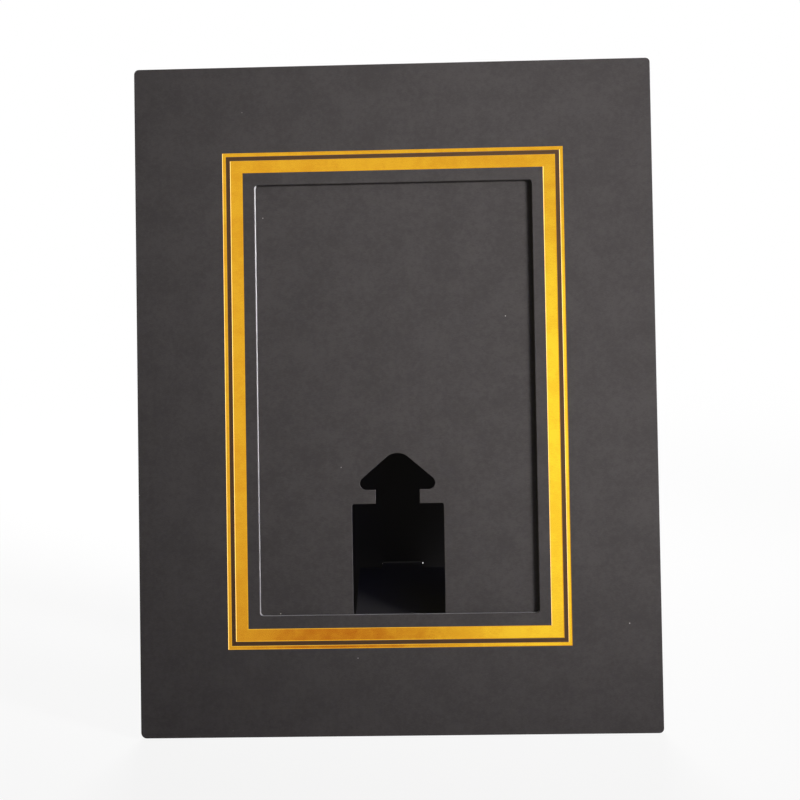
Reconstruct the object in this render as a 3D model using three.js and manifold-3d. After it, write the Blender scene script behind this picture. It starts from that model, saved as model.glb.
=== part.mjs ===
// Free-standing cardboard photo frame, in millimetres, +Z up, front towards -Y.
// A die-cut front card with a window and a stamped gold border is taped to a back card.
// A tongue cut from the back card folds out behind and locks with its barbed head
// through a slit in the easel leg, so the frame leans back on the leg's foot.
import * as THREE from "three";
import { mergeVertices } from "three/addons/utils/BufferGeometryUtils.js";
import Module from "manifold-3d";

// Cards
const CARD_WIDTH = 170;
const CARD_HEIGHT = 220;
const CARD_CORNER = 1.6;
const FRONT_THICKNESS = 1.0;
const BACK_THICKNESS = 0.8;
const EDGE_ROUNDING = 0.14;

// Window in the front card, centred, for a 102 x 152 print
const WINDOW_WIDTH = 91.2;
const WINDOW_HEIGHT = 141.5;
const WINDOW_CORNER = 1.1;

// Stamped gold border around the window
const BORDER_MARGIN_SIDE = 3.65;
const BORDER_MARGIN_END = 3.95;
const BAND_WIDTH = 4.35;
const BAND_GAP = 1.1;
const LINE_WIDTH = 1.45;
const STAMP_DEPTH = 0.14;
const FOIL_THICKNESS = 0.08;
const FOIL_CLEARANCE = 0.03;

// Tongue, drawn as it lies flat in the back card
const TONGUE_FOLD_HEIGHT = 34;
const TONGUE_WIDTH = 30;
const TONGUE_BODY_LENGTH = 41.3;
const TONGUE_SHOULDER_CORNER = 0.8;
const NECK_WIDTH = 14.3;
const NECK_LENGTH = 4.6;
const HEAD_WIDTH = 24.6;
const HEAD_LENGTH = 11.9;
const HEAD_TIP_RADIUS = 5.5;
const HEAD_BARB_RADIUS = 2.1;
const CUT_CLEARANCE = 0.15;

// Easel leg, measured from its crease
const LEG_THICKNESS = 0.8;
const LEG_CREASE_HEIGHT = 140;
const LEG_FLAP_HEIGHT = 24;
const LEG_WIDTH_AT_CREASE = 72;
const LEG_WIDTH_AT_FOOT = 96;
const LEG_CORNER = 3;
const SLIT_DISTANCE = 95.8;
const SLIT_END_CLEARANCE = 0.4;
const SLIT_SIDE_CLEARANCE = 0.25;
const BARB_CLEARANCE = 0.3;

// Creases and tape
const CREASE_RADIUS = 0.5;
const TAPE_THICKNESS = 0.25;
const TAPE_WIDTH = 20;
const TAPE_SIDE_MARGIN = 12;
const TAPE_END_MARGIN = 4;
const TAPE_PAD_MARGIN = 4;
const GLUE_GAP = 0.05;
const PRINT_WIDTH = 102;
const PRINT_HEIGHT = 152;
const PRINT_CLEARANCE = 2;

// How far the frame leans back when it stands
const LEAN = THREE.MathUtils.degToRad(15);

const ARC_STEPS = 8;
const CUT_REACH = 3;
const CREASE_LAP = 1;

const wasm = await Module();
wasm.setup();

// Depths through the stack, back from the front card's face
const tapeSpace = TAPE_THICKNESS + 2 * GLUE_GAP;
const backFace = FRONT_THICKNESS + tapeSpace;
const stackDepth = backFace + BACK_THICKNESS;
const flapFace = stackDepth + tapeSpace;
const windowBottom = (CARD_HEIGHT - WINDOW_HEIGHT) / 2;

// A closed mesh as a solid that can be cut and joined, and back again.
function solidOf(geometry) {
  const bare = geometry.clone().deleteAttribute("normal").deleteAttribute("uv");
  const merged = mergeVertices(bare, 1e-4);
  return new wasm.Manifold(
    new wasm.Mesh({
      numProp: 3,
      vertProperties: merged.attributes.position.array,
      triVerts: new Uint32Array(merged.index.array),
    }),
  );
}

function geometryOf(solid) {
  const { vertProperties, triVerts } = solid.getMesh();
  const geometry = new THREE.BufferGeometry();
  geometry.setAttribute("position", new THREE.BufferAttribute(vertProperties, 3));
  geometry.setIndex(new THREE.BufferAttribute(triVerts, 1));
  const flat = geometry.toNonIndexed();
  flat.computeVertexNormals();
  return flat;
}

// A closed outline of a rectangle with rounded corners, anticlockwise.
function roundedRectangle(Outline, left, bottom, right, top, radius) {
  const quarter = Math.PI / 2;
  const outline = new Outline();
  outline.moveTo(left + radius, bottom);
  outline.absarc(right - radius, bottom + radius, radius, -quarter, 0);
  outline.absarc(right - radius, top - radius, radius, 0, quarter);
  outline.absarc(left + radius, top - radius, radius, quarter, 2 * quarter);
  outline.absarc(left + radius, bottom + radius, radius, 2 * quarter, 3 * quarter);
  outline.closePath();
  return outline;
}

function rectangle(Outline, left, bottom, right, top) {
  const outline = new Outline();
  outline.moveTo(left, bottom);
  outline.lineTo(right, bottom);
  outline.lineTo(right, top);
  outline.lineTo(left, top);
  outline.closePath();
  return outline;
}

// An outline drawn in X and Z as a sheet whose front face is at the given depth.
function sheet(outline, front, thickness, rounding = 0) {
  const geometry = new THREE.ExtrudeGeometry(outline, {
    depth: thickness - 2 * rounding,
    bevelEnabled: rounding > 0,
    bevelThickness: rounding,
    bevelSize: rounding,
    bevelOffset: -rounding,
    bevelSegments: 1,
    curveSegments: ARC_STEPS,
  });
  geometry.rotateX(Math.PI / 2);
  geometry.translate(0, front + thickness - rounding, 0);
  return geometry;
}

// A section drawn in Y and Z, extruded across X about the centre line.
function across(section, width) {
  const geometry = new THREE.ExtrudeGeometry(section, {
    depth: width,
    bevelEnabled: false,
    curveSegments: ARC_STEPS,
  });
  geometry.translate(0, 0, -width / 2);
  const toDepth = new THREE.Vector3(0, 1, 0);
  const toHeight = new THREE.Vector3(0, 0, 1);
  const toWidth = new THREE.Vector3(1, 0, 0);
  return geometry.applyMatrix4(new THREE.Matrix4().makeBasis(toDepth, toHeight, toWidth));
}

// An outline drawn in X and in the distance along a card that runs from a crease,
// as a prism that reaches past both faces of that card.
function prismOnCard(outline, crease, along) {
  const geometry = new THREE.ExtrudeGeometry(outline, {
    depth: 2 * CUT_REACH,
    bevelEnabled: false,
    curveSegments: ARC_STEPS,
  });
  geometry.translate(0, 0, -CUT_REACH);
  const toWidth = new THREE.Vector3(1, 0, 0);
  const toLength = new THREE.Vector3(0, along.x, along.y);
  const toFace = new THREE.Vector3().crossVectors(toWidth, toLength);
  const place = new THREE.Matrix4().makeBasis(toWidth, toLength, toFace);
  place.setPosition(0, crease.x, crease.y);
  return geometry.applyMatrix4(place);
}

// The section of a card folded once: two straight runs of its middle plane from the
// crease, joined by a bend. Points are (depth, height).
function foldedSection(crease, first, firstLength, second, secondLength, thickness) {
  const bisector = first.clone().add(second).normalize();
  const halfAngle = Math.acos(THREE.MathUtils.clamp(first.dot(bisector), -1, 1));
  const middleRadius = CREASE_RADIUS + thickness / 2;
  const centre = crease.clone().addScaledVector(bisector, middleRadius / Math.sin(halfAngle));
  const inwards = (run) =>
    bisector.clone().addScaledVector(run, -bisector.dot(run)).normalize();
  const firstIn = inwards(first);
  const secondIn = inwards(second);
  const at = (run, length, inward, offset) =>
    crease.clone().addScaledVector(run, length).addScaledVector(inward, offset);
  const facing = (inward) => Math.atan2(-inward.y, -inward.x);
  const clockwise = first.cross(second) > 0;
  const half = thickness / 2;

  const section = new THREE.Shape();
  const begin = at(first, firstLength, firstIn, -half);
  const outerEnd = at(second, secondLength, secondIn, -half);
  const innerEnd = at(second, secondLength, secondIn, half);
  const innerBegin = at(first, firstLength, firstIn, half);
  const from = facing(firstIn);
  const to = facing(secondIn);
  section.moveTo(begin.x, begin.y);
  section.absarc(centre.x, centre.y, CREASE_RADIUS + thickness, from, to, clockwise);
  section.lineTo(outerEnd.x, outerEnd.y);
  section.lineTo(innerEnd.x, innerEnd.y);
  section.absarc(centre.x, centre.y, CREASE_RADIUS, to, from, !clockwise);
  section.lineTo(innerBegin.x, innerBegin.y);
  section.closePath();
  return section;
}

// The triangle between the two creases and the slit, on the cards' middle planes.
// The leg spreads until the tongue's barbs stop it, so the tongue sets its angle.
function easelTriangle() {
  const fold = new THREE.Vector2(backFace + BACK_THICKNESS / 2, TONGUE_FOLD_HEIGHT);
  const crease = new THREE.Vector2(flapFace + LEG_THICKNESS / 2, LEG_CREASE_HEIGHT);
  const reach = TONGUE_BODY_LENGTH + NECK_LENGTH - BARB_CLEARANCE - LEG_THICKNESS / 2;
  const base = fold.clone().sub(crease);
  const baseLength = base.length();
  const cosine =
    (baseLength ** 2 + SLIT_DISTANCE ** 2 - reach ** 2) / (2 * baseLength * SLIT_DISTANCE);
  const legAlong = base.clone().normalize().rotateAround(new THREE.Vector2(), Math.acos(cosine));
  const slit = crease.clone().addScaledVector(legAlong, SLIT_DISTANCE);
  const tongueAlong = slit.clone().sub(fold).normalize();
  return { fold, crease, slit, legAlong, tongueAlong };
}

const easel = easelTriangle();
const tongueLength = TONGUE_BODY_LENGTH + NECK_LENGTH + HEAD_LENGTH;

// The frame stands on the back card's lower edge. Height above the floor of a point in
// the leaning stack, given as (depth, height up the card), and its reach to the back.
const standingDepth = stackDepth - EDGE_ROUNDING;
const heightOf = (point) =>
  point.y * Math.cos(LEAN) + (standingDepth - point.x) * Math.sin(LEAN);
const reachOf = (point) => point.y * Math.sin(LEAN) + point.x * Math.cos(LEAN);

// The leg ends where the front corner of its foot meets the floor.
function legLength() {
  const { crease, legAlong } = easel;
  const towardsFrame = new THREE.Vector2(legAlong.y, -legAlong.x);
  const frontOfCrease = crease.clone().addScaledVector(towardsFrame, LEG_THICKNESS / 2);
  const oneFurther = frontOfCrease.clone().add(legAlong);
  return heightOf(frontOfCrease) / (heightOf(frontOfCrease) - heightOf(oneFurther));
}

// The tongue's outline from its fold, with the barbed head at the far end.
function tongueOutline(bodyFrom, clearance) {
  const half = TONGUE_WIDTH / 2 - clearance;
  const neck = NECK_WIDTH / 2 - clearance;
  const barbAcross = HEAD_WIDTH / 2 - HEAD_BARB_RADIUS;
  const headBase = TONGUE_BODY_LENGTH + NECK_LENGTH;
  const barbAlong = headBase + HEAD_BARB_RADIUS;
  const tipAlong = headBase + HEAD_LENGTH - HEAD_TIP_RADIUS;
  const barb = HEAD_BARB_RADIUS - clearance;
  const tip = HEAD_TIP_RADIUS - clearance;
  const spanAlong = tipAlong - barbAlong;
  const span = Math.hypot(barbAcross, spanAlong);
  const flank = Math.atan2(spanAlong, -barbAcross) - Math.acos((barb - tip) / span);
  const shoulder = TONGUE_SHOULDER_CORNER;
  const top = TONGUE_BODY_LENGTH - clearance;
  const quarter = Math.PI / 2;

  const outline = new THREE.Path();
  outline.moveTo(-half, bodyFrom);
  outline.lineTo(half, bodyFrom);
  outline.absarc(half - shoulder, top - shoulder, shoulder, 0, quarter);
  outline.lineTo(neck, top);
  outline.lineTo(neck, headBase + clearance);
  outline.absarc(barbAcross, barbAlong, barb, -quarter, flank);
  outline.absarc(0, tipAlong, tip, flank, 2 * quarter - flank);
  outline.absarc(-barbAcross, barbAlong, barb, 2 * quarter - flank, 3 * quarter);
  outline.lineTo(-neck, headBase + clearance);
  outline.lineTo(-neck, top);
  outline.absarc(shoulder - half, top - shoulder, shoulder, quarter, 2 * quarter);
  outline.closePath();
  return outline;
}

function cardOutline() {
  const half = CARD_WIDTH / 2;
  return roundedRectangle(THREE.Shape, -half, 0, half, CARD_HEIGHT, CARD_CORNER);
}

// A rectangular ring around the window, given by how far its edges lie from it.
function borderRing(inner, width, clearance) {
  const side = WINDOW_WIDTH / 2 + BORDER_MARGIN_SIDE + inner + clearance;
  const bottom = windowBottom - BORDER_MARGIN_END - inner - clearance;
  const grown = width - 2 * clearance;
  const ring = rectangle(
    THREE.Shape,
    -side - grown,
    bottom - grown,
    side + grown,
    CARD_HEIGHT - bottom + grown,
  );
  ring.holes.push(rectangle(THREE.Path, -side, bottom, side, CARD_HEIGHT - bottom));
  return ring;
}

const band = { inner: 0, width: BAND_WIDTH };
const line = { inner: BAND_WIDTH + BAND_GAP, width: LINE_WIDTH };

function frontCard() {
  const outline = cardOutline();
  const half = WINDOW_WIDTH / 2;
  outline.holes.push(
    roundedRectangle(
      THREE.Path,
      -half,
      windowBottom,
      half,
      windowBottom + WINDOW_HEIGHT,
      WINDOW_CORNER,
    ),
  );
  let card = solidOf(sheet(outline, 0, FRONT_THICKNESS, EDGE_ROUNDING));
  for (const { inner, width } of [band, line]) {
    const stamp = sheet(borderRing(inner, width, 0), -STAMP_DEPTH, 2 * STAMP_DEPTH);
    card = card.subtract(solidOf(stamp));
  }
  return geometryOf(card);
}

// Foil at the bottom of its stamped groove.
function foil({ inner, width }) {
  const front = STAMP_DEPTH - FOIL_CLEARANCE - FOIL_THICKNESS;
  return sheet(borderRing(inner, width, FOIL_CLEARANCE), front, FOIL_THICKNESS);
}

function backCard() {
  const { fold, tongueAlong } = easel;
  const outline = cardOutline();
  const hole = tongueOutline(0, 0);
  outline.holes.push(
    new THREE.Path(hole.getPoints(ARC_STEPS).map((p) => p.setY(p.y + TONGUE_FOLD_HEIGHT))),
  );
  const card = solidOf(sheet(outline, backFace, BACK_THICKNESS, EDGE_ROUNDING));

  const down = new THREE.Vector2(0, -1);
  const section = foldedSection(
    fold,
    down,
    2 * CREASE_LAP,
    tongueAlong,
    tongueLength,
    BACK_THICKNESS,
  );
  const strip = solidOf(across(section, TONGUE_WIDTH - 2 * CUT_CLEARANCE));
  const outlineOfTongue = new THREE.Shape(
    tongueOutline(-CUT_REACH, CUT_CLEARANCE).getPoints(ARC_STEPS),
  );
  const tongue = strip.intersect(solidOf(prismOnCard(outlineOfTongue, fold, tongueAlong)));
  return geometryOf(card.add(tongue));
}

// The leg's outline below its crease, wider at the foot.
function legOutline(length) {
  const top = LEG_WIDTH_AT_CREASE / 2;
  const foot = LEG_WIDTH_AT_FOOT / 2;
  const slope = Math.atan2(foot - top, length);
  const back = LEG_CORNER / Math.tan((Math.PI / 2 - slope) / 2);
  const outline = new THREE.Shape();
  outline.moveTo(-top, 0);
  outline.lineTo(top, 0);
  outline.absarc(foot - back, length - LEG_CORNER, LEG_CORNER, -slope, Math.PI / 2);
  outline.absarc(back - foot, length - LEG_CORNER, LEG_CORNER, Math.PI / 2, Math.PI + slope);
  outline.closePath();
  return outline;
}

function slitOutline() {
  const half = NECK_WIDTH / 2 + SLIT_END_CLEARANCE;
  const height = BACK_THICKNESS / 2 + SLIT_SIDE_CLEARANCE;
  return roundedRectangle(
    THREE.Shape,
    -half,
    SLIT_DISTANCE - height,
    half,
    SLIT_DISTANCE + height,
    SLIT_SIDE_CLEARANCE,
  );
}

function easelLeg() {
  const { crease, legAlong } = easel;
  const length = legLength();
  const up = new THREE.Vector2(0, 1);
  const section = foldedSection(
    crease,
    up,
    LEG_FLAP_HEIGHT,
    legAlong,
    length,
    LEG_THICKNESS,
  );
  const folded = solidOf(across(section, LEG_WIDTH_AT_FOOT));
  const half = LEG_WIDTH_AT_CREASE / 2;
  const flapOutline = roundedRectangle(
    THREE.Shape,
    -half,
    LEG_CREASE_HEIGHT - CREASE_LAP,
    half,
    LEG_CREASE_HEIGHT + LEG_FLAP_HEIGHT,
    CREASE_LAP / 2,
  );
  const flap = solidOf(sheet(flapOutline, flapFace - CUT_REACH, 2 * CUT_REACH));
  const leg = solidOf(prismOnCard(legOutline(length), crease, legAlong));
  const slit = solidOf(prismOnCard(slitOutline(), crease, legAlong));
  return geometryOf(folded.intersect(flap.add(leg)).subtract(slit));
}

// Tape that holds the two cards together around the print on three sides.
const pocketSide = PRINT_WIDTH / 2 + PRINT_CLEARANCE;
const pocketBottom = (CARD_HEIGHT - PRINT_HEIGHT) / 2 - PRINT_CLEARANCE;
const tapeFace = FRONT_THICKNESS + GLUE_GAP;

function sideTape(side) {
  const near = side * pocketSide;
  const far = side * (CARD_WIDTH / 2 - TAPE_SIDE_MARGIN);
  const outline = rectangle(
    THREE.Shape,
    Math.min(near, far),
    TAPE_END_MARGIN,
    Math.max(near, far),
    CARD_HEIGHT - TAPE_END_MARGIN,
  );
  return sheet(outline, tapeFace, TAPE_THICKNESS);
}

function bottomTape() {
  const half = pocketSide - GLUE_GAP;
  const outline = rectangle(THREE.Shape, -half, pocketBottom - TAPE_WIDTH, half, pocketBottom);
  return sheet(outline, tapeFace, TAPE_THICKNESS);
}

function legTape() {
  const half = LEG_WIDTH_AT_CREASE / 2 - TAPE_PAD_MARGIN;
  const outline = rectangle(
    THREE.Shape,
    -half,
    LEG_CREASE_HEIGHT + TAPE_PAD_MARGIN,
    half,
    LEG_CREASE_HEIGHT + LEG_FLAP_HEIGHT - TAPE_PAD_MARGIN,
  );
  return sheet(outline, stackDepth + GLUE_GAP, TAPE_THICKNESS);
}

const blackCard = new THREE.MeshStandardMaterial({ color: "#4b4745", roughness: 0.9 });
const blackCardBack = new THREE.MeshStandardMaterial({ color: "#474341", roughness: 0.9 });
const legCard = new THREE.MeshStandardMaterial({ color: "#383533", roughness: 0.92 });
const goldFoil = new THREE.MeshStandardMaterial({
  color: "#e6ac2c",
  roughness: 0.32,
  metalness: 1,
});
const tape = new THREE.MeshStandardMaterial({ color: "#d9d4c6", roughness: 0.6 });

function piece(name, geometry, material) {
  const mesh = new THREE.Mesh(geometry, material);
  mesh.name = name;
  return mesh;
}

const leaning = new THREE.Group();
leaning.add(
  piece("front_card", frontCard(), blackCard),
  piece("gold_band", foil(band), goldFoil),
  piece("gold_line", foil(line), goldFoil),
  piece("tape_left", sideTape(-1), tape),
  piece("tape_right", sideTape(1), tape),
  piece("tape_bottom", bottomTape(), tape),
  piece("back_card_with_tongue", backCard(), blackCardBack),
  piece("tape_leg", legTape(), tape),
  piece("easel_leg", easelLeg(), legCard),
);
leaning.rotation.x = -LEAN;
leaning.position.z = standingDepth * Math.sin(LEAN);

// The origin lies on the floor under the middle of the whole frame, whose reach ends at
// the lower side of the tongue's tip.
const { fold, tongueAlong } = easel;
const tongueTip = fold
  .clone()
  .addScaledVector(tongueAlong, tongueLength - CUT_CLEARANCE)
  .addScaledVector(new THREE.Vector2(tongueAlong.y, -tongueAlong.x), BACK_THICKNESS / 2);
const topCorner = new THREE.Vector2(stackDepth, CARD_HEIGHT - EDGE_ROUNDING);
const frontEdge = new THREE.Vector2(0, EDGE_ROUNDING);
const furthest = Math.max(reachOf(tongueTip), reachOf(topCorner));
const standing = new THREE.Group();
standing.add(leaning);
standing.position.y = -(reachOf(frontEdge) + furthest) / 2;

const photoFrame = new THREE.Group();
photoFrame.add(standing);

export default photoFrame;
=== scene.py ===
import math

import bmesh
import bpy
from mathutils import Euler, Matrix, Vector


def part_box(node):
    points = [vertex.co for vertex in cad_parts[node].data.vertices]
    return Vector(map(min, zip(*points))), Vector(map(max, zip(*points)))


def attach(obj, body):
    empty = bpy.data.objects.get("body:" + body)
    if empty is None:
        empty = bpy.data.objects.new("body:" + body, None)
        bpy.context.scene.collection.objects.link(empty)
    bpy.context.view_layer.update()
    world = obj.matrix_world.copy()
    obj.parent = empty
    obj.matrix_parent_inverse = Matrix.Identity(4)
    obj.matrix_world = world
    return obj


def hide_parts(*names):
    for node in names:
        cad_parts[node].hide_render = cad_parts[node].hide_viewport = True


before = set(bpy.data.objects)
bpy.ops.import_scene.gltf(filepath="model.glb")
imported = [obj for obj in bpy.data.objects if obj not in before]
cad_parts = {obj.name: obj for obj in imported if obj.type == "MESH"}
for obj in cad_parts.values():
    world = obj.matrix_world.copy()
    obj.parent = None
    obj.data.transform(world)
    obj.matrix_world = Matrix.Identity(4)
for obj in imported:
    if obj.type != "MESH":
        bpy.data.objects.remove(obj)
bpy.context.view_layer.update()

MM = 0.001

# The card's own axes, and how finely corners, edges and faces are told apart in them
ACROSS = 0
UP = 1
FINE = 0.001
FINEST = 0.0001
SLIVER = 0.004
FLAT = math.radians(0.4)
SHARP = 1.0
LEVEL = 0.999
MOSTLY = 0.5

# How the leaning stack of cards stands, in millimetres, as it is packed
LEAN = math.radians(15)
FRONT_THICKNESS = 1.0
TAPE_SPACE = 0.35
BACK_THICKNESS = 0.8
EDGE_ROUNDING = 0.14
STACK_DEPTH = FRONT_THICKNESS + TAPE_SPACE + BACK_THICKNESS
STANDING_DEPTH = STACK_DEPTH - EDGE_ROUNDING

# The front card: the side, end and radius of each corner, and the dulling of its edges
CARD_WIDTH = 170
CARD_HEIGHT = 220
MIDDLE = CARD_HEIGHT / 2
CARD_CORNERS = ((-1, -1, 1.9), (1, -1, 1.5), (1, 1, 1.4), (-1, 1, 1.6))
CORNER_STEPS = 8
CARD_EDGE = 0.18
EDGE_STEPS = 3

# The window, which narrows towards the back, and its dulled front shoulder
WINDOW_SIDE = 91.2 / 2
WINDOW_END = 141.5 / 2
WINDOW_CORNER = 1.1
WINDOW_FLARE = 0.24
WINDOW_LEAN = 0.13
WINDOW_SHOULDER = 0.22
SHOULDER_STEPS = 4
PUNCH_TRAVEL = 1

# The stamped border, with the width and depth of each step of its walls, and its foil
BORDER_MARGIN_SIDE = 3.65
BORDER_MARGIN_END = 3.95
BAND_WIDTH = 4.35
BAND_GAP = 1.1
LINE_WIDTH = 1.45
STAMP_STEPS = ((0.12, 0.02), (0.16, 0.08), (0.1, 0.02))
FOIL_LIFT = 0.012
FOIL_THICKNESS = 0.008

# The dulled edges of the back card and the leg, and how far the slit's two ends are moved
DULLED_EDGE = 0.09
DULLED_STEPS = 2
SHARP_ON_BOARD = math.radians(60)
SHARP_ON_LEG = math.radians(40)
SLIT_END = 7.55
SLIT_SHIFTS = ((-1, 0.45), (1, -0.25))

# The camera in the card's own axes: along it, up it and out from its face
CAMERA_PLACE = (17.1, 92.9, 501.3)
CAMERA_TURN = (1.825, 1.830, -0.941)
CAMERA_LENS = 69.05
CAMERA_SENSOR = 36

# Colours, as linear light
CARD_TONE = (0.0672, 0.0612, 0.059, 1)
CARD_TONE_DEEP = (0.0528, 0.048, 0.046, 1)
# The card's pale core is real, but it is shown only on the cut edges that face the key lamp, so it
# is partly a painted highlight
CARD_CORE = (0.5, 0.49, 0.495, 1)
# The leg is the same card, painted darker as painted shade for what shows of it through the window
LEG_SHADE_TONE = (0.0245, 0.0228, 0.0222, 1)
LEG_SHADE_TONE_DEEP = (0.019, 0.0178, 0.0172, 1)
FOIL_GOLD = (0.84, 0.45, 0.032, 1)
FOIL_AMBER = (0.68, 0.27, 0.014, 1)
# Painted shade in the gap between the border's rings
GAP_SHADE_TINT = (0.092, 0.046, 0.018, 1)
# Painted shade deep in the hollow behind the window
HOLLOW_SHADE_TONE = (0.024, 0.0225, 0.022, 1)
DUST_TONE = (0.42, 0.40, 0.38, 1)
TAPE_TONE = (0.72, 0.68, 0.58, 1)
TAPE_TONE_DEEP = (0.6, 0.56, 0.46, 1)
PAPER_TONE = (0.9, 0.9, 0.9, 1)
WHITE = (1, 1, 1, 1)

# Relief of each material: the strength of the bump and its depth in metres
CARD_BUMP = (0.35, 0.00006)
FOIL_BUMP = (0.1, 0.00004)
TAPE_BUMP = (0.2, 0.00004)

# How dry or glossy the materials are, and what a grain or a patch adds to that
CARD_SPECULAR = 0.1
CARD_DRYNESS = 0.74
GRAIN_DRYNESS = 0.16
FOIL_DULLNESS = 0.09
PATCH_DULLNESS = 0.08
FOIL_COAT = 0.2
FOIL_COAT_ROUGHNESS = 0.2
TAPE_ROUGHNESS = 0.5

# Noise in the materials: scale per millimetre, detail and roughness
CLOUDS = (0.09, 4, 0.62)
MOTTLE = (0.55, 3, 0.6)
FIBRES = (2.4, 5, 0.7)
GRAIN = (7.5, 2, 0.6)
RAGGED_CUT = (3.2, 3, 0.7)
GAP_SHADE_PATCHES = (1.6, 3, 0.7)
BROAD_SHEEN = (0.05, 3, 0.6)
SHEEN_PATCHES = (0.2, 3, 0.55)
SHEEN_THREADS = (1.8, 3, 0.6)
FIBRE_STRETCH = (0.45, 1.5, 1)
THREAD_STRETCH = (0.5, 1.4, 1)
NOISE_MIDDLE = 0.5

# How the layers of noise share in the tone and the height of the card and the foil
CLOUD_SHARE = 0.55
MOTTLE_SHARE = 0.45
SOFT_SHARE = 0.6
FIBRE_SHARE = 0.4
TONE_RANGE = (0.4, 0.6)
FIBRE_HEIGHT = 0.6
GRAIN_HEIGHT = 0.4
BROAD_WARMTH = 0.45
PATCH_WARMTH = 0.3
THREAD_WARMTH = 0.25
WARMTH_RANGE = (0.62, 0.36)
AMBER_SHARE = 0.45
PATCH_HEIGHT = 0.7
THREAD_HEIGHT = 0.3

# Dust, in cells of 1 / DUST_SPREAD millimetres, and lint: across, up and radius
DUST_SPREAD = 0.11
DUST_CHANCE = (0.55, 0.6)
DUST_SMALLEST = 0.008
DUST_VARIETY = 0.022
DUST_SOFTNESS = 0.6
LINT_HEART = 0.4
LINT = (
    (-43, 170, 0.2),
    (-38.9, 39.9, 0.25),
    (-6.6, 79.2, 0.2),
    (-13.7, 25.3, 0.2),
    (74.6, 35.5, 0.25),
)

# The core in the window's cut edge: the dyed skin over it, and where and how much of it shows as a
# painted highlight, on the edges that face the key lamp
CORE_SKIN = 0.12
CORE_SOFTNESS = 0.06
CORE_WANDER = 0.08
RIM_INSIDE = (0.8, 0.4)
RIM_OUTSIDE = (1.2, 0.8)
LEFT_RIM_LEAST = 0.6
LEFT_RIM_MORE = 0.4
LOWER_RIM_LEAST = 0.4
LOWER_RIM_MORE = 0.3

# Painted shade, warm and patchy, in the gap between the border's rings, and where painted shade
# darkens the tongue's inner side
GAP_SHADE_LEAST = 0.45
GAP_SHADE_MORE = 0.8
GAP_SHADE_OVERLAP = 0.05
GAP_SHADE_FADE = 0.1
HOLLOW_SHADE_RANGE = (STACK_DEPTH + 0.2, STACK_DEPTH + 2.2)

# The soft key lamp at the right, in the card's own axes, and the lamp behind, in the scene's
KEY_PLACE = (430, 215, 175)
KEY_AIM = (170, 177, 0)
KEY_SIZE = 0.3
KEY_SPREAD = math.radians(28.8)
KEY_POWER = 0.61
KEY_COLOR = (1, 1, 1.01)
REAR_PLACE = Vector((0, 0.75, 0.55))
REAR_AIM = Vector((0, 0, 0.1))
REAR_SIZE = 0.4
REAR_POWER = 6

# The fill that comes from all round, most of all from the front
FILL_FROM = (0, 0.2, 1)
FILL_BEHIND = 0.06
FILL_IN_FRONT = 0.12
FILL_COLOR = (1.05, 0.98, 0.9, 1)

# What the foil mirrors: a plain surround with three round patches, one pale and low at the
# right, one dim and warm, and one like the lamp. Each has its colour, its place in the card's
# own axes, and the cosines of its edge and of its heart.
GLOSS_PLAIN = (0.95, 0.92, 0.64, 1)
GLOSS_PATCHES = (
    ((1.36, 1.75, 1.05, 1), (0.125, -0.005, 1), math.cos(0.195), math.cos(0.05)),
    ((0.48, 0.19, 0.12, 1), (-0.072, -0.138, 1), math.cos(0.093), math.cos(0.015)),
    ((2.2, 2.6, 9.0, 1), (1.45, 0.4, 1), math.cos(0.7), math.cos(0.4)),
)

# The floor, and its white, which is full from SHADOW_END metres on
FLOOR_SIZE = 24
SHADOW_REACH = 0.15
SHADOW_END = 0.6
WHITE_NEAR = 0.88
WHITE_IN_FOIL = 0.9

# The color sockets of a Mix node
MIX_MASK = 0
MIX_FIRST = 6
MIX_SECOND = 7
MIX_RESULT = 2


def card_foot():
    """The middle of the front card's lower front edge, in metres."""
    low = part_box("front_card")[0]
    back = low[1] - EDGE_ROUNDING * MM * math.sin(LEAN)
    up = STANDING_DEPTH * MM * math.sin(LEAN)
    return Vector((0, back, up))


CARD_TURN = Matrix.Rotation(math.radians(90) - LEAN, 4, "X")
CARD_PLACE = Matrix.Translation(card_foot()) @ CARD_TURN
FROM_CARD = CARD_PLACE @ Matrix.Scale(MM, 4)


def on_card(across, up, out):
    """A point given in the card's own axes in millimetres, in metres of the scene."""
    return CARD_PLACE @ (Vector((across, up, out)) * MM)


def select_only(piece):
    bpy.ops.object.select_all(action="DESELECT")
    piece.select_set(True)
    bpy.context.view_layer.objects.active = piece


def block(name, left, bottom, right, top, front, back):
    """A block in the card's axes, in millimetres, from its front face to its back one."""
    bpy.ops.object.select_all(action="DESELECT")
    middle = ((left + right) / 2, (bottom + top) / 2, (front + back) / 2)
    bpy.ops.mesh.primitive_cube_add(size=1, location=middle)
    piece = bpy.context.object
    piece.name = name
    piece.data.name = name
    piece.scale = (right - left, top - bottom, front - back)
    bpy.ops.object.transform_apply(location=True, rotation=True, scale=True)
    return piece


def edit(piece, kind, wanted):
    """Opens a piece for editing, with only the wanted corners, edges or faces selected."""
    select_only(piece)
    bpy.ops.object.mode_set(mode="EDIT")
    bpy.ops.mesh.select_mode(type=kind)
    bpy.ops.mesh.select_all(action="DESELECT")
    shape = bmesh.from_edit_mesh(piece.data)
    parts = {"VERT": shape.verts, "EDGE": shape.edges, "FACE": shape.faces}[kind]
    for part in parts:
        if wanted(part):
            part.select_set(True)
    shape.select_flush_mode()
    bmesh.update_edit_mesh(piece.data)


def close():
    bpy.ops.object.mode_set(mode="OBJECT")


def modify(piece, kind, **settings):
    """Gives a piece a modifier with these settings and applies it."""
    select_only(piece)
    modifier = piece.modifiers.new(kind.lower(), kind)
    for name, value in settings.items():
        setattr(modifier, name, value)
    bpy.ops.object.modifier_apply(modifier=modifier.name)


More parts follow.
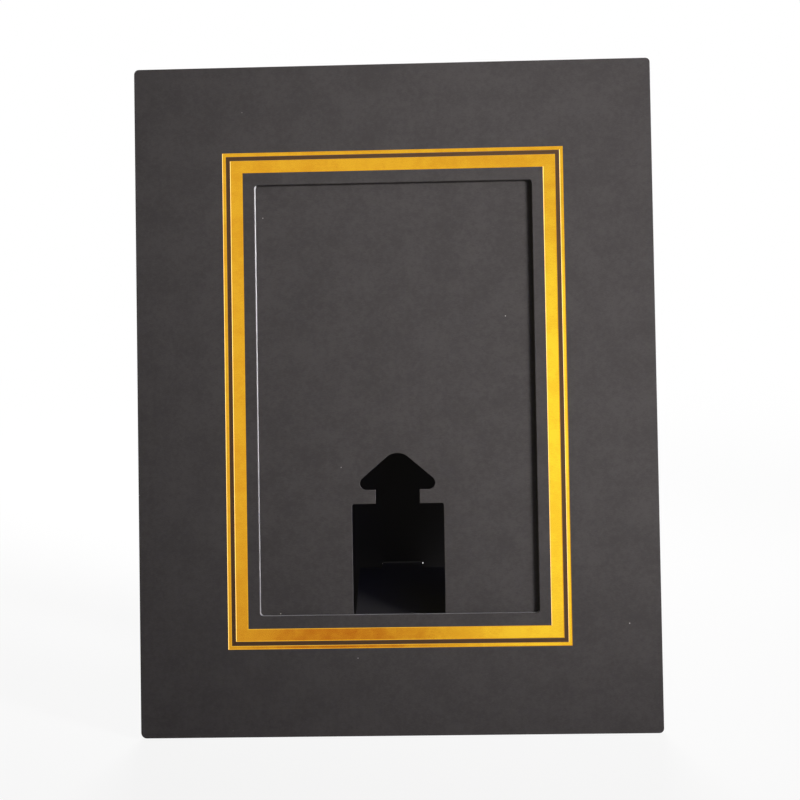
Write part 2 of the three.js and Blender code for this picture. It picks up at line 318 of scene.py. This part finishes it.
def carve(piece, cutter):
    """Cuts one piece out of another and throws the cutter away."""
    modify(piece, "BOOLEAN", operation="DIFFERENCE", object=cutter)
    bpy.data.objects.remove(cutter)


def at_corner(edge, side, end):
    """An edge that runs straight through the card's thickness at one of its corners."""
    foot = edge.verts[0].co
    run = foot - edge.verts[1].co
    straight = abs(run.x) < FINE and abs(run.y) < FINE
    return straight and foot.x * side > 0 and (foot.y - MIDDLE) * end > 0


def leads_in(edge):
    """An edge that leads from the card's front to its back, straight or slanting."""
    return abs(edge.verts[0].co.z - edge.verts[1].co.z) > FRONT_THICKNESS / 2


def at_depth(edge, depth):
    """A sharp edge that lies this deep behind the card's front."""
    flat = all(abs(corner.co.z + depth) < FINE for corner in edge.verts)
    return flat and edge.calc_face_angle(0) > SHARP


def in_window(edge):
    """An edge whose middle lies in the window."""
    middle = (edge.verts[0].co + edge.verts[1].co) / 2
    return abs(middle.x) < WINDOW_SIDE + FINE and abs(middle.y - MIDDLE) < WINDOW_END + FINE


def in_front(face):
    """A face that lies flat on the card's front."""
    return face.normal.z > LEVEL and face.calc_center_median().z > -FINE


def ring_of(inner, width):
    """Half the inner and outer width and height of a ring of the border."""
    across = WINDOW_SIDE + BORDER_MARGIN_SIDE + inner
    up = WINDOW_END + BORDER_MARGIN_END + inner
    return across, up, across + width, up + width


BAND = ring_of(0, BAND_WIDTH)
LINE = ring_of(BAND_WIDTH + BAND_GAP, LINE_WIDTH)


def on_ring(face, ring):
    """A face of the front side whose middle lies in a ring of the border."""
    inner_across, inner_up, outer_across, outer_up = ring
    middle = face.calc_center_median()
    across = abs(middle.x)
    up = abs(middle.y - MIDDLE)
    if face.normal.z < MOSTLY or middle.z < -FRONT_THICKNESS / 2:
        return False
    if across > outer_across or up > outer_up:
        return False
    return across > inner_across or up > inner_up


def cut_front():
    """The front card's blank, with its corners cut round and its edges dulled by the die."""
    half = CARD_WIDTH / 2
    card = block("front_card_printed", -half, 0, half, CARD_HEIGHT, 0, -FRONT_THICKNESS)
    for side, end, radius in CARD_CORNERS:
        edit(card, "EDGE", lambda edge: at_corner(edge, side, end))
        bpy.ops.mesh.bevel(offset=radius, segments=CORNER_STEPS)
        close()
    for depth in (0, FRONT_THICKNESS):
        edit(card, "EDGE", lambda edge: at_depth(edge, depth))
        bpy.ops.mesh.bevel(offset=CARD_EDGE, segments=EDGE_STEPS)
        close()
    return card


def stamp(card, ring):
    """Presses a ring of the border into the card, with soft walls."""
    inner_across, inner_up, outer_across, outer_up = ring
    sides = ((inner_across, ACROSS), (outer_across, ACROSS), (inner_up, UP), (outer_up, UP))
    for half, axis in sides:
        for side in (-1, 1):
            place = [0, MIDDLE, 0]
            place[axis] += side * half
            normal = [0, 0, 0]
            normal[axis] = 1
            edit(card, "FACE", in_front)
            bpy.ops.mesh.bisect(plane_co=place, plane_no=normal, threshold=FINEST)
            close()
    edit(card, "FACE", lambda face: on_ring(face, ring))
    for width, depth in STAMP_STEPS:
        bpy.ops.mesh.inset(thickness=width, depth=-depth, use_boundary=True, use_even_offset=True)
    close()


def punch_window(card):
    """Punches the window, a little narrower at the back, and dulls its front shoulder."""
    sides = (-WINDOW_SIDE, MIDDLE - WINDOW_END, WINDOW_SIDE, MIDDLE + WINDOW_END)
    punch = block("window_punch", *sides, 0, -FRONT_THICKNESS)
    edit(punch, "FACE", lambda face: face.normal.z < -MOSTLY)
    flare = (1 - WINDOW_FLARE / WINDOW_SIDE, 1 - WINDOW_FLARE / WINDOW_END, 1)
    bpy.ops.transform.resize(value=flare)
    bpy.ops.transform.translate(value=(WINDOW_LEAN, 0, 0))
    close()
    edit(punch, "EDGE", leads_in)
    bpy.ops.mesh.bevel(offset=WINDOW_CORNER, segments=CORNER_STEPS)
    close()
    for outwards in (1, -1):
        edit(punch, "FACE", lambda face: face.normal.z * outwards > MOSTLY)
        travel = {"value": (0, 0, outwards * PUNCH_TRAVEL)}
        bpy.ops.mesh.extrude_region_move(TRANSFORM_OT_translate=travel)
        close()
    carve(card, punch)
    edit(card, "EDGE", lambda edge: at_depth(edge, 0) and in_window(edge))
    bpy.ops.mesh.bevel(offset=WINDOW_SHOULDER, segments=SHOULDER_STEPS)
    close()


def lay_foil(card, name, ring):
    """Foil that lines a stamped ring, floor and walls, and ends just below the card's face."""
    shoulder = -STAMP_STEPS[0][1]
    edit(card, "FACE", lambda face: on_ring(face, ring) and face.calc_center_median().z < shoulder)
    bpy.ops.mesh.duplicate()
    bpy.ops.transform.translate(value=(0, 0, FOIL_LIFT))
    bpy.ops.mesh.separate(type="SELECTED")
    close()
    leaf = [piece for piece in bpy.context.selected_objects if piece != card][0]
    leaf.name = name
    leaf.data.name = name
    modify(leaf, "SOLIDIFY", thickness=FOIL_THICKNESS, offset=1)
    return leaf


def lift_copy(node, name):
    """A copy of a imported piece, brought into the card's axes with its flat faces joined up."""
    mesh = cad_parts[node].data.copy()
    mesh.name = name
    mesh.materials.clear()
    mesh.transform(FROM_CARD.inverted())
    copy = bpy.data.objects.new(name, mesh)
    bpy.context.scene.collection.objects.link(copy)
    edit(copy, "FACE", lambda face: True)
    bpy.ops.mesh.remove_doubles(threshold=FINE)
    bpy.ops.mesh.dissolve_limited(angle_limit=FLAT)
    bpy.ops.mesh.dissolve_degenerate(threshold=SLIVER)
    bpy.ops.mesh.dissolve_limited(angle_limit=FLAT)
    close()
    return copy


def shift_slit_ends(leg):
    """Cuts the leg's slit a little off centre, so that the tongue's neck nearly fills it."""
    for side, shift in SLIT_SHIFTS:
        edit(leg, "VERT", lambda corner: abs(corner.co.x - side * SLIT_END) < abs(shift) / 2)
        bpy.ops.transform.translate(value=(shift, 0, 0))
        close()


def dull_edges(piece, sharper_than):
    limit = {"limit_method": "ANGLE", "angle_limit": sharper_than}
    modify(piece, "BEVEL", width=DULLED_EDGE, segments=DULLED_STEPS, **limit)


def stand(piece, node, material):
    """Leans a piece that was made flat, in millimetres, into its place in the frame."""
    piece.data.materials.clear()
    piece.data.materials.append(material)
    piece.matrix_world = FROM_CARD
    select_only(piece)
    bpy.ops.object.transform_apply(location=True, rotation=True, scale=True)
    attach(piece, "root")
    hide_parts(node)


class Nodes:
    """A node tree under construction."""

    def __init__(self, tree):
        self.tree = tree

    def add(self, kind, **settings):
        node = self.tree.nodes.new(kind)
        for name, value in settings.items():
            setattr(node, name, value)
        return node

    def feed(self, value, socket):
        """Joins an input to an output, or gives it a plain value."""
        if isinstance(value, bpy.types.NodeSocket):
            self.tree.links.new(value, socket)
        else:
            socket.default_value = value

    def fill(self, node, **values):
        """Feeds a node's inputs by name, with low lines in place of blanks."""
        for name, value in values.items():
            self.feed(value, node.inputs[name.replace("_", " ")])
        return node

    def math(self, operation, *values, clamp=False):
        node = self.add("ShaderNodeMath", operation=operation, use_clamp=clamp)
        for value, socket in zip(values, node.inputs):
            self.feed(value, socket)
        return node.outputs[0]

    def line(self, value, slope, start, clamp=False):
        """A straight line: the start, plus the slope times the value."""
        return self.math("ADD", self.math("MULTIPLY", value, slope), start, clamp=clamp)

    def blend(self, first, *others):
        """The sum of pairs of a value and its share."""
        total = self.math("MULTIPLY", *first)
        for pair in others:
            total = self.math("ADD", total, self.math("MULTIPLY", *pair))
        return total

    def measure(self, operation, *vectors):
        """A number that is worked out from one vector or two."""
        node = self.add("ShaderNodeVectorMath", operation=operation)
        for vector, socket in zip(vectors, node.inputs):
            self.feed(vector, socket)
        return node.outputs["Value"]

    def ramp(self, value, low, high, low_result=0.0, high_result=1.0):
        """A soft step, from one result at low and before it to the other from high on."""
        node = self.add("ShaderNodeMapRange", interpolation_type="SMOOTHSTEP")
        self.fill(node, Value=value, From_Min=low, From_Max=high)
        self.fill(node, To_Min=low_result, To_Max=high_result)
        return node.outputs["Result"]

    def mix(self, mask, first, second):
        """The first color where the mask is 0, and the second one where it is 1."""
        node = self.add("ShaderNodeMix", data_type="RGBA")
        for place, value in ((MIX_MASK, mask), (MIX_FIRST, first), (MIX_SECOND, second)):
            self.feed(value, node.inputs[place])
        return node.outputs[MIX_RESULT]

    def choose(self, mask, first, second):
        """The first shader where the mask is 0, and the second one where it is 1."""
        node = self.add("ShaderNodeMixShader")
        for value, socket in zip((mask, first, second), node.inputs):
            self.feed(value, socket)
        return node.outputs[0]


class Finish(Nodes):
    """A material under construction, with its Principled BSDF and its card coordinates."""

    def __init__(self, name):
        self.material = bpy.data.materials.new(name)
        self.material.use_nodes = True
        super().__init__(self.material.node_tree)
        self.tree.nodes.clear()
        self.shader = self.add("ShaderNodeBsdfPrincipled")
        output = self.add("ShaderNodeOutputMaterial")
        self.fill(output, Surface=self.shader.outputs["BSDF"])
        self.place = self.card_coordinates()

    def card_coordinates(self):
        """Object coordinates turned into the card's plane, in millimetres."""
        source = self.add("ShaderNodeTexCoord").outputs["Object"]
        to_card = CARD_PLACE.inverted()
        per_mm = (1 / MM, 1 / MM, 1 / MM)
        mapping = self.add("ShaderNodeMapping")
        self.fill(mapping, Vector=source, Location=to_card.translation / MM)
        self.fill(mapping, Rotation=to_card.to_euler(), Scale=per_mm)
        return mapping.outputs["Vector"]

    def set(self, **values):
        """Feeds the shader's own sockets."""
        self.fill(self.shader, **values)

    def use(self, group, **values):
        """Places a shared effect on the card and gives its outputs."""
        node = self.add("ShaderNodeGroup", node_tree=group)
        return self.fill(node, Place=self.place, **values).outputs

    def bump(self, height, strength, distance):
        node = self.add("ShaderNodeBump")
        self.fill(node, Height=height, Strength=strength, Distance=distance)
        self.set(Normal=node.outputs["Normal"])


class Effect(Nodes):
    """A node group under construction, which works from a place in the card's axes."""

    def __init__(self, name, outputs, tones=()):
        super().__init__(bpy.data.node_groups.new(name, "ShaderNodeTree"))
        self.declare("Place", "INPUT", "NodeSocketVector")
        for label in tones:
            self.declare(label, "INPUT", "NodeSocketColor")
        for label in outputs:
            kind = "NodeSocketColor" if label == "Color" else "NodeSocketFloat"
            self.declare(label, "OUTPUT", kind)
        self.given = self.add("NodeGroupInput").outputs
        self.result = self.add("NodeGroupOutput")
        self.place = self.given["Place"]

    def declare(self, label, side, kind):
        self.tree.interface.new_socket(label, in_out=side, socket_type=kind)

    def give(self, **values):
        """Joins the group's outputs and closes it."""
        self.fill(self.result, **values)
        return self.tree

    def axes(self):
        """How far across, up and out from the card's face, in millimetres."""
        return self.fill(self.add("ShaderNodeSeparateXYZ"), Vector=self.place).outputs

    def noise(self, scale, detail, roughness, stretch=None):
        vector = self.place
        if stretch is not None:
            mapping = self.fill(self.add("ShaderNodeMapping"), Vector=vector, Scale=stretch)
            vector = mapping.outputs["Vector"]
        node = self.add("ShaderNodeTexNoise")
        self.fill(node, Vector=vector, Scale=scale, Detail=detail, Roughness=roughness)
        return node.outputs["Fac"]


def card_surface():
    """Uncoated dyed card: soft cloudy tone, fine fibres and a dry, uneven face."""
    effect = Effect("card_surface", ("Color", "Roughness", "Height"), ("Tone", "Deep Tone"))
    clouds = effect.noise(*CLOUDS)
    mottle = effect.noise(*MOTTLE)
    fibres = effect.noise(*FIBRES, stretch=FIBRE_STRETCH)
    grain = effect.noise(*GRAIN)
    soft = effect.blend((clouds, CLOUD_SHARE), (mottle, MOTTLE_SHARE))
    tone = effect.blend((soft, SOFT_SHARE), (fibres, FIBRE_SHARE))
    mask = effect.ramp(tone, *TONE_RANGE)
    return effect.give(
        Color=effect.mix(mask, effect.given["Deep Tone"], effect.given["Tone"]),
        Roughness=effect.line(grain, GRAIN_DRYNESS, CARD_DRYNESS),
        Height=effect.blend((fibres, FIBRE_HEIGHT), (grain, GRAIN_HEIGHT)),
    )


def dust_specks():
    """A few pale specks of dust, sparse and of uneven size."""
    effect = Effect("dust_specks", ("Mask",))
    cells = effect.add("ShaderNodeTexVoronoi", feature="F1")
    effect.fill(cells, Vector=effect.place, Scale=DUST_SPREAD, Randomness=1)
    chance = effect.fill(effect.add("ShaderNodeSeparateColor"), Color=cells.outputs["Color"])
    kept = effect.ramp(chance.outputs["Red"], *DUST_CHANCE)
    radius = effect.line(chance.outputs["Green"], DUST_VARIETY, DUST_SMALLEST)
    reach = effect.math("DIVIDE", cells.outputs["Distance"], radius)
    inside = effect.math("SUBTRACT", 1.0, reach, clamp=True)
    speck = effect.ramp(inside, 0.0, DUST_SOFTNESS)
    return effect.give(Mask=effect.math("MULTIPLY", speck, kept))


def lint_specks():
    """A few larger bits of lint, each at its own place on the card."""
    effect = Effect("lint_specks", ("Mask",))
    flat = effect.add("ShaderNodeVectorMath", operation="MULTIPLY")
    effect.feed(effect.place, flat.inputs[0])
    effect.feed((1, 1, 0), flat.inputs[1])
    mask = 0.0
    for across, up, radius in LINT:
        reach = effect.measure("DISTANCE", flat.outputs["Vector"], (across, up, 0))
        mask = effect.math("MAXIMUM", effect.ramp(reach, radius, radius * LINT_HEART), mask)
    return effect.give(Mask=mask)


def cut_core():
    """Where a cut edge shows the lighter core between the card's two dyed faces."""
    effect = Effect("cut_core", ("Mask",))
    out = effect.axes()["Z"]
    ragged = effect.noise(*RAGGED_CUT)
    wander = effect.math("MULTIPLY", effect.math("SUBTRACT", ragged, NOISE_MIDDLE), CORE_WANDER)
    depth = effect.math("ADD", effect.math("MULTIPLY", out, -1.0), wander)
    inner = FRONT_THICKNESS - CORE_SKIN
    from_front = effect.ramp(depth, CORE_SKIN, CORE_SKIN + CORE_SOFTNESS)
    from_back = effect.ramp(depth, inner - CORE_SOFTNESS, inner)
    core = effect.math("MULTIPLY", from_front, effect.math("SUBTRACT", 1.0, from_back))
    return effect.give(Mask=core)


def painted_lit_rim():
    """Painted highlight: the window's cut edge shows its pale core only where the key lamp falls
    on it, most at the left, some at the lower side.
    """
    effect = Effect("painted_lit_rim", ("Mask",))
    across, up = effect.axes()[:2]
    low = MIDDLE - WINDOW_END
    high = MIDDLE + WINDOW_END
    fades, shows = RIM_INSIDE
    left = effect.ramp(across, fades - WINDOW_SIDE, shows - WINDOW_SIDE)
    lower = effect.ramp(up, low + fades, low + shows)
    upwards = effect.line(effect.ramp(up, low, high), LEFT_RIM_MORE, LEFT_RIM_LEAST)
    leftwards = effect.ramp(across, WINDOW_SIDE, -WINDOW_SIDE)
    leftwards = effect.line(leftwards, LOWER_RIM_MORE, LOWER_RIM_LEAST)
    left_rim = effect.math("MULTIPLY", left, upwards)
    lower_rim = effect.math("MULTIPLY", lower, leftwards)
    lit = effect.math("MAXIMUM", left_rim, lower_rim)
    fades, shows = RIM_OUTSIDE
    beside = effect.math("ABSOLUTE", across)
    beside = effect.ramp(beside, WINDOW_SIDE + fades, WINDOW_SIDE + shows)
    above = effect.math("ABSOLUTE", effect.math("SUBTRACT", up, MIDDLE))
    above = effect.ramp(above, WINDOW_END + fades, WINDOW_END + shows)
    inside = effect.math("MULTIPLY", beside, above)
    return effect.give(Mask=effect.math("MULTIPLY", lit, inside))


def painted_gap_shade():
    """Painted shade: the narrow gap between the border's line and band, given a patchy warm brown
    tint.
    """
    effect = Effect("painted_gap_shade", ("Mask",))
    across, up = effect.axes()[:2]
    band_across, band_up = BAND[2:]
    across = effect.math("SUBTRACT", effect.math("ABSOLUTE", across), band_across)
    up = effect.math("ABSOLUTE", effect.math("SUBTRACT", up, MIDDLE))
    up = effect.math("SUBTRACT", up, band_up)
    outside = effect.math("MAXIMUM", across, up)
    share = effect.line(effect.noise(*GAP_SHADE_PATCHES), GAP_SHADE_MORE, GAP_SHADE_LEAST, clamp=True)
    entered = effect.ramp(outside, -GAP_SHADE_OVERLAP, GAP_SHADE_FADE)
    left = effect.ramp(outside, BAND_GAP + GAP_SHADE_OVERLAP, BAND_GAP - GAP_SHADE_FADE)
    inside = effect.math("MULTIPLY", entered, left)
    return effect.give(Mask=effect.math("MULTIPLY", share, inside))


def painted_hollow_shade():
    """Painted shade: the inner side of the tongue, and the leg behind it, darkened further in than
    the back card's own thickness.
    """
    effect = Effect("painted_hollow_shade", ("Mask",))
    out = effect.axes()["Z"]
    depth = effect.math("MULTIPLY", out, -1.0)
    return effect.give(Mask=effect.ramp(depth, *HOLLOW_SHADE_RANGE))


def foil_leaf():
    """Stamped foil: faint ripples of the press and a warm, slightly uneven lacquer."""
    effect = Effect("foil_leaf", ("Color", "Roughness", "Height"))
    broad = effect.noise(*BROAD_SHEEN)
    patches = effect.noise(*SHEEN_PATCHES)
    threads = effect.noise(*SHEEN_THREADS, stretch=THREAD_STRETCH)
    warmth = ((broad, BROAD_WARMTH), (patches, PATCH_WARMTH), (threads, THREAD_WARMTH))
    mask = effect.ramp(effect.blend(*warmth), *WARMTH_RANGE)
    amber = effect.math("MULTIPLY", mask, AMBER_SHARE)
    return effect.give(
        Color=effect.mix(amber, FOIL_GOLD, FOIL_AMBER),
        Roughness=effect.line(patches, PATCH_DULLNESS, FOIL_DULLNESS),
        Height=effect.blend((patches, PATCH_HEIGHT), (threads, THREAD_HEIGHT)),
    )


CARD_SURFACE = card_surface()
DUST_SPECKS = dust_specks()
LINT_SPECKS = lint_specks()
CUT_CORE = cut_core()
PAINTED_LIT_RIM = painted_lit_rim()
PAINTED_GAP_SHADE = painted_gap_shade()
FOIL_LEAF = foil_leaf()
PAINTED_HOLLOW_SHADE = painted_hollow_shade()


def card_finish(name, tone, deep, bordered=False, dusty=False):
    """Card, with the painted shade between the border's rings and the painted highlight of the
    window's cut core, or the painted shade in the hollow, and dust.
    """
    finish = Finish(name)
    surface = finish.use(CARD_SURFACE, Tone=tone, Deep_Tone=deep)
    color = surface["Color"]
    if bordered:
        # Painted shade: a patchy warm brown tint in the gap between the rings
        color = finish.mix(finish.use(PAINTED_GAP_SHADE)["Mask"], color, GAP_SHADE_TINT)
        core = finish.use(CUT_CORE)["Mask"]
        rim = finish.use(PAINTED_LIT_RIM)["Mask"]
        # Painted highlight: the pale core shows only on the window's cut edges that face the key
        # lamp
        color = finish.mix(finish.math("MULTIPLY", core, rim), color, CARD_CORE)
    else:
        # Painted shade: darker the deeper the surface lies in the hollow behind the window
        color = finish.mix(finish.use(PAINTED_HOLLOW_SHADE)["Mask"], color, HOLLOW_SHADE_TONE)
    if dusty:
        for specks in (DUST_SPECKS, LINT_SPECKS):
            color = finish.mix(finish.use(specks)["Mask"], color, DUST_TONE)
    finish.set(Base_Color=color, Roughness=surface["Roughness"])
    finish.set(Specular_IOR_Level=CARD_SPECULAR)
    finish.bump(surface["Height"], *CARD_BUMP)
    return finish.material


def foil_finish():
    finish = Finish("gold_foil")
    leaf = finish.use(FOIL_LEAF)
    finish.set(Base_Color=leaf["Color"], Roughness=leaf["Roughness"], Metallic=1.0)
    finish.set(Coat_Weight=FOIL_COAT, Coat_Roughness=FOIL_COAT_ROUGHNESS)
    finish.bump(leaf["Height"], *FOIL_BUMP)
    return finish.material


def tape_finish():
    finish = Finish("mounting_tape")
    surface = finish.use(CARD_SURFACE, Tone=TAPE_TONE, Deep_Tone=TAPE_TONE_DEEP)
    finish.set(Base_Color=surface["Color"], Roughness=TAPE_ROUGHNESS)
    finish.bump(surface["Height"], *TAPE_BUMP)
    return finish.material


def dress(node, material):
    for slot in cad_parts[node].material_slots:
        slot.material = material


def surround():
    """White to the camera, a soft fill from the front, and patches of light in the foil."""
    world = bpy.data.worlds.new("surround")
    bpy.context.scene.world = world
    world.use_nodes = True
    nodes = Nodes(world.node_tree)
    nodes.tree.nodes.clear()

    def towards(place):
        """The cosine of the angle between a ray and a direction in the card's own axes."""
        direction = CARD_TURN.to_3x3() @ Vector(place)
        ray = nodes.add("ShaderNodeTexCoord").outputs["Generated"]
        return nodes.measure("DOT_PRODUCT", ray, direction.normalized())

    def light(color, strength=1.0):
        node = nodes.add("ShaderNodeBackground")
        return nodes.fill(node, Color=color, Strength=strength).outputs[0]

    path = nodes.add("ShaderNodeLightPath").outputs
    fill = nodes.ramp(towards(FILL_FROM), 0.0, 1.0, FILL_BEHIND, FILL_IN_FRONT)
    gloss = GLOSS_PLAIN
    for color, place, edge, heart in GLOSS_PATCHES:
        gloss = nodes.mix(nodes.ramp(towards(place), edge, heart), gloss, color)
    seen = nodes.choose(path["Is Glossy Ray"], light(FILL_COLOR, fill), light(gloss))
    seen = nodes.choose(path["Is Camera Ray"], seen, light(WHITE))
    nodes.fill(nodes.add("ShaderNodeOutputWorld"), Surface=seen)


def floor_paint():
    """Pale paper, white to the camera further off, that takes the frame's shadow."""
    material = bpy.data.materials.new("floor_paper")
    material.use_nodes = True
    nodes = Nodes(material.node_tree)
    nodes.tree.nodes.clear()
    paper = nodes.fill(nodes.add("ShaderNodeBsdfDiffuse"), Color=PAPER_TONE)
    glow = nodes.fill(nodes.add("ShaderNodeEmission"), Color=WHITE, Strength=1.0)
    place = nodes.add("ShaderNodeTexCoord").outputs["Object"]
    distance = nodes.measure("LENGTH", place)
    share = nodes.ramp(distance, SHADOW_REACH, SHADOW_END, WHITE_NEAR, 1.0)
    path = nodes.add("ShaderNodeLightPath").outputs
    white = nodes.math("MULTIPLY", path["Is Camera Ray"], share)
    white = nodes.math("MULTIPLY_ADD", path["Is Glossy Ray"], WHITE_IN_FOIL, white)
    seen = nodes.choose(white, paper.outputs[0], glow.outputs[0])
    nodes.fill(nodes.add("ShaderNodeOutputMaterial"), Surface=seen)
    return material


def soft_lamp(name, place, aim, size, power):
    light = bpy.data.lights.new(name, "AREA")
    light.shape = "SQUARE"
    light.size = size
    light.energy = power
    lamp = bpy.data.objects.new(name, light)
    bpy.context.scene.collection.objects.link(lamp)
    lamp.location = place
    lamp.rotation_euler = (aim - place).to_track_quat("-Z", "Y").to_euler()
    return lamp


def studio():
    """A pale floor, a white surround, soft light from the right and a lamp behind."""
    bpy.context.scene.view_settings.view_transform = "Standard"
    bpy.ops.object.select_all(action="DESELECT")
    bpy.ops.mesh.primitive_plane_add(size=FLOOR_SIZE, location=(0, 0, 0))
    floor = bpy.context.object
    floor.name = "floor"
    floor.data.materials.append(floor_paint())
    surround()
    key = soft_lamp("key", on_card(*KEY_PLACE), on_card(*KEY_AIM), KEY_SIZE, KEY_POWER)
    key.data.spread = KEY_SPREAD
    key.data.color = KEY_COLOR
    key.visible_glossy = False
    soft_lamp("rear", REAR_PLACE, REAR_AIM, REAR_SIZE, REAR_POWER)


def photographer():
    """A camera square on to the leaning card, a little right of its middle."""
    data = bpy.data.cameras.new("camera")
    data.lens = CAMERA_LENS
    data.sensor_width = CAMERA_SENSOR
    camera = bpy.data.objects.new("camera", data)
    bpy.context.scene.collection.objects.link(camera)
    turn = Euler([math.radians(angle) for angle in CAMERA_TURN]).to_matrix().to_4x4()
    place = Matrix.Translation(on_card(*CAMERA_PLACE))
    camera.matrix_world = place @ CARD_TURN @ turn
    bpy.context.scene.camera = camera


front_face = card_finish("front_card_face", CARD_TONE, CARD_TONE_DEEP, bordered=True, dusty=True)
back_face = card_finish("back_card_face", CARD_TONE, CARD_TONE_DEEP, dusty=True)
# Painted shade: the leg's darker tone stands in for the shade inside the hollow
leg_shaded_face = card_finish("leg_card_shaded", LEG_SHADE_TONE, LEG_SHADE_TONE_DEEP)
foil = foil_finish()
tape = tape_finish()

front = cut_front()
stamp(front, BAND)
stamp(front, LINE)
punch_window(front)
band_leaf = lay_foil(front, "gold_band_leaf", BAND)
line_leaf = lay_foil(front, "gold_line_leaf", LINE)
board = lift_copy("back_card_with_tongue", "back_card_die_cut")
dull_edges(board, SHARP_ON_BOARD)
leg = lift_copy("easel_leg", "easel_leg_creased")
shift_slit_ends(leg)
dull_edges(leg, SHARP_ON_LEG)

stand(front, "front_card", front_face)
stand(band_leaf, "gold_band", foil)
stand(line_leaf, "gold_line", foil)
stand(board, "back_card_with_tongue", back_face)
stand(leg, "easel_leg", leg_shaded_face)
for node in ("tape_left", "tape_right", "tape_bottom", "tape_leg"):
    dress(node, tape)

studio()
photographer()
